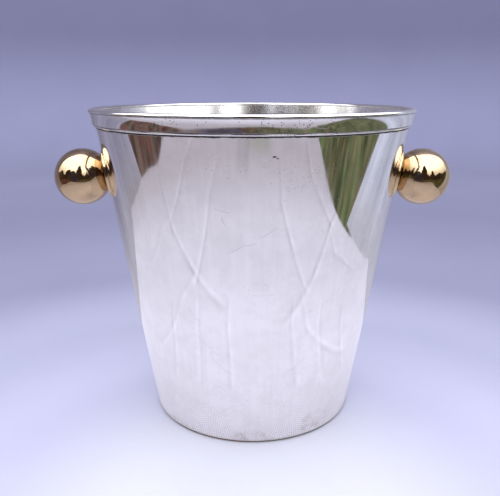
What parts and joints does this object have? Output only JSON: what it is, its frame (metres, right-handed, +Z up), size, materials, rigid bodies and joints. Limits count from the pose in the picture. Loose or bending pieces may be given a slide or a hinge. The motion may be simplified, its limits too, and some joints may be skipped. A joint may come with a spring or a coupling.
{
  "type": "champagne bucket",
  "caption": "Tapered mirror-polished silver-plate ice bucket with a flared banded mouth, a wire rim and a gilt ball handle bolted through the wall on each side.",
  "frame": {"origin": "centre of the foot ring, on the table", "axes": "+Z up along the bucket's axis, +X through the right-hand ball handle"},
  "size_m": [0.2542, 0.2, 0.197],
  "materials": {
    "silver_plate": "mirror-polished silver plate, lightly worn and tarnished",
    "gilt": "mirror-polished gilt brass",
    "seal": "soft black rubber",
    "steel": "turned steel",
    "nickel": "bright nickel plate"
  },
  "bodies": {
    "root": {"bucket_body": "silver_plate", "rim_collar": "silver_plate", "rim_wire": "silver_plate", "collar_bead": "silver_plate", "foot_ring": "silver_plate", "left_ball_handle": "gilt", "left_wall_plate": "gilt", "left_outer_seal": "seal", "left_inner_seal": "seal", "left_threaded_stud": "steel", "left_backing_washer": "nickel", "left_lock_washer": "nickel", "left_cap_nut": "nickel", "right_ball_handle": "gilt", "right_wall_plate": "gilt", "right_outer_seal": "seal", "right_inner_seal": "seal", "right_threaded_stud": "steel", "right_backing_washer": "nickel", "right_lock_washer": "nickel", "right_cap_nut": "nickel"}
  },
  "joints": []
}
